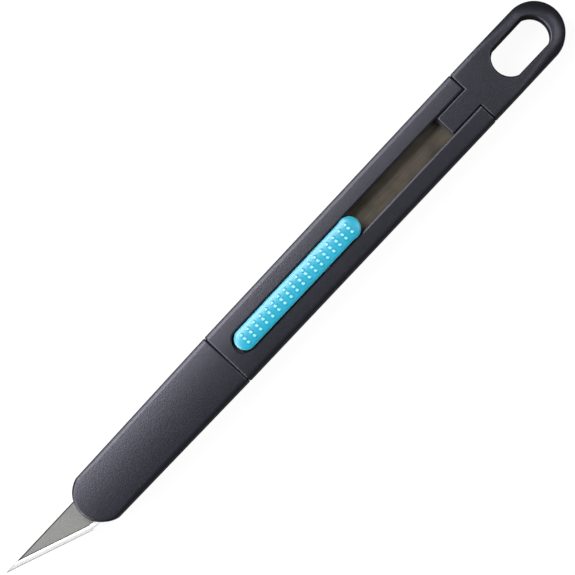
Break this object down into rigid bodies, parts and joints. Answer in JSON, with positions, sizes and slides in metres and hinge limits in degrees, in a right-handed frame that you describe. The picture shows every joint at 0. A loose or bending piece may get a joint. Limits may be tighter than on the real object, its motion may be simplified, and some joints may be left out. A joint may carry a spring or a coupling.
{
  "type": "hobby craft knife",
  "caption": "Slim retractable craft knife: slotted flat handle with a textured thumb slider, a pull-off nose sleeve, a slanted blade and an end cap with a hanging loop.",
  "frame": {"origin": "middle of the body shell's flat back face", "axes": "+X along the handle from the blade tip to the hanging loop, +Z out of the front face that has the button, +Y towards the blade's spine"},
  "size_m": [0.1419, 0.0116, 0.009],
  "materials": {
    "black_plastic": "fine moulded matte black",
    "blue_plastic": "satin cyan blue",
    "carriage_plastic": "smooth black acetal",
    "channel_steel": "brushed lengthwise, slightly brown",
    "blade_steel": "grey flats with a bright ground bevel",
    "spring_steel": "blued spring strip",
    "rivet_steel": "plain turned",
    "bumper_rubber": "matte black"
  },
  "bodies": {
    "body": {"body_shell": "black_plastic", "steel_channel": "channel_steel", "channel_rivets": "rivet_steel", "nose_catch": "spring_steel", "catch_rivet": "rivet_steel"},
    "nose": {"nose_sleeve": "black_plastic", "tip_spring": "spring_steel"},
    "cap": {"end_cap": "black_plastic", "rear_bumper": "bumper_rubber"},
    "carriage": {"slide_carriage": "carriage_plastic", "blade_holder": "channel_steel", "holder_rivets": "rivet_steel", "blade_stud": "rivet_steel", "blade": "blade_steel"},
    "lock": {"lock_spring": "spring_steel", "lock_tooth": "spring_steel", "spring_rivets": "rivet_steel"},
    "button": {"button_core": "carriage_plastic", "slide_button": "blue_plastic", "button_screws": "rivet_steel"}
  },
  "joints": [
    {"name": "carriage_slide", "type": "slide", "parent": "body", "child": "carriage", "axis": [1, 0, 0], "range_m": [0, 0.022]},
    {"name": "button_press", "type": "slide", "parent": "carriage", "child": "button", "axis": [0, 0, -1], "range_m": [0, 0.0004], "stiffness_N_per_m": 1500, "springref_m": -0.0004},
    {"name": "lock_flex", "type": "hinge", "parent": "carriage", "child": "lock", "pos_m": [-0.02488, 0, 0.00515], "axis": [0, 1, 0], "range_deg": [0, 1.7]},
    {"name": "nose_pull", "type": "slide", "parent": "body", "child": "nose", "axis": [-1, 0, 0], "range_m": [0, 0.036]},
    {"name": "cap_pull", "type": "slide", "parent": "body", "child": "cap", "axis": [1, 0, 0], "range_m": [0, 0.009]}
  ],
  "couplings": [
    {"joint": "lock_flex", "follows": "button_press", "rad_per_m": 71.429}
  ]
}
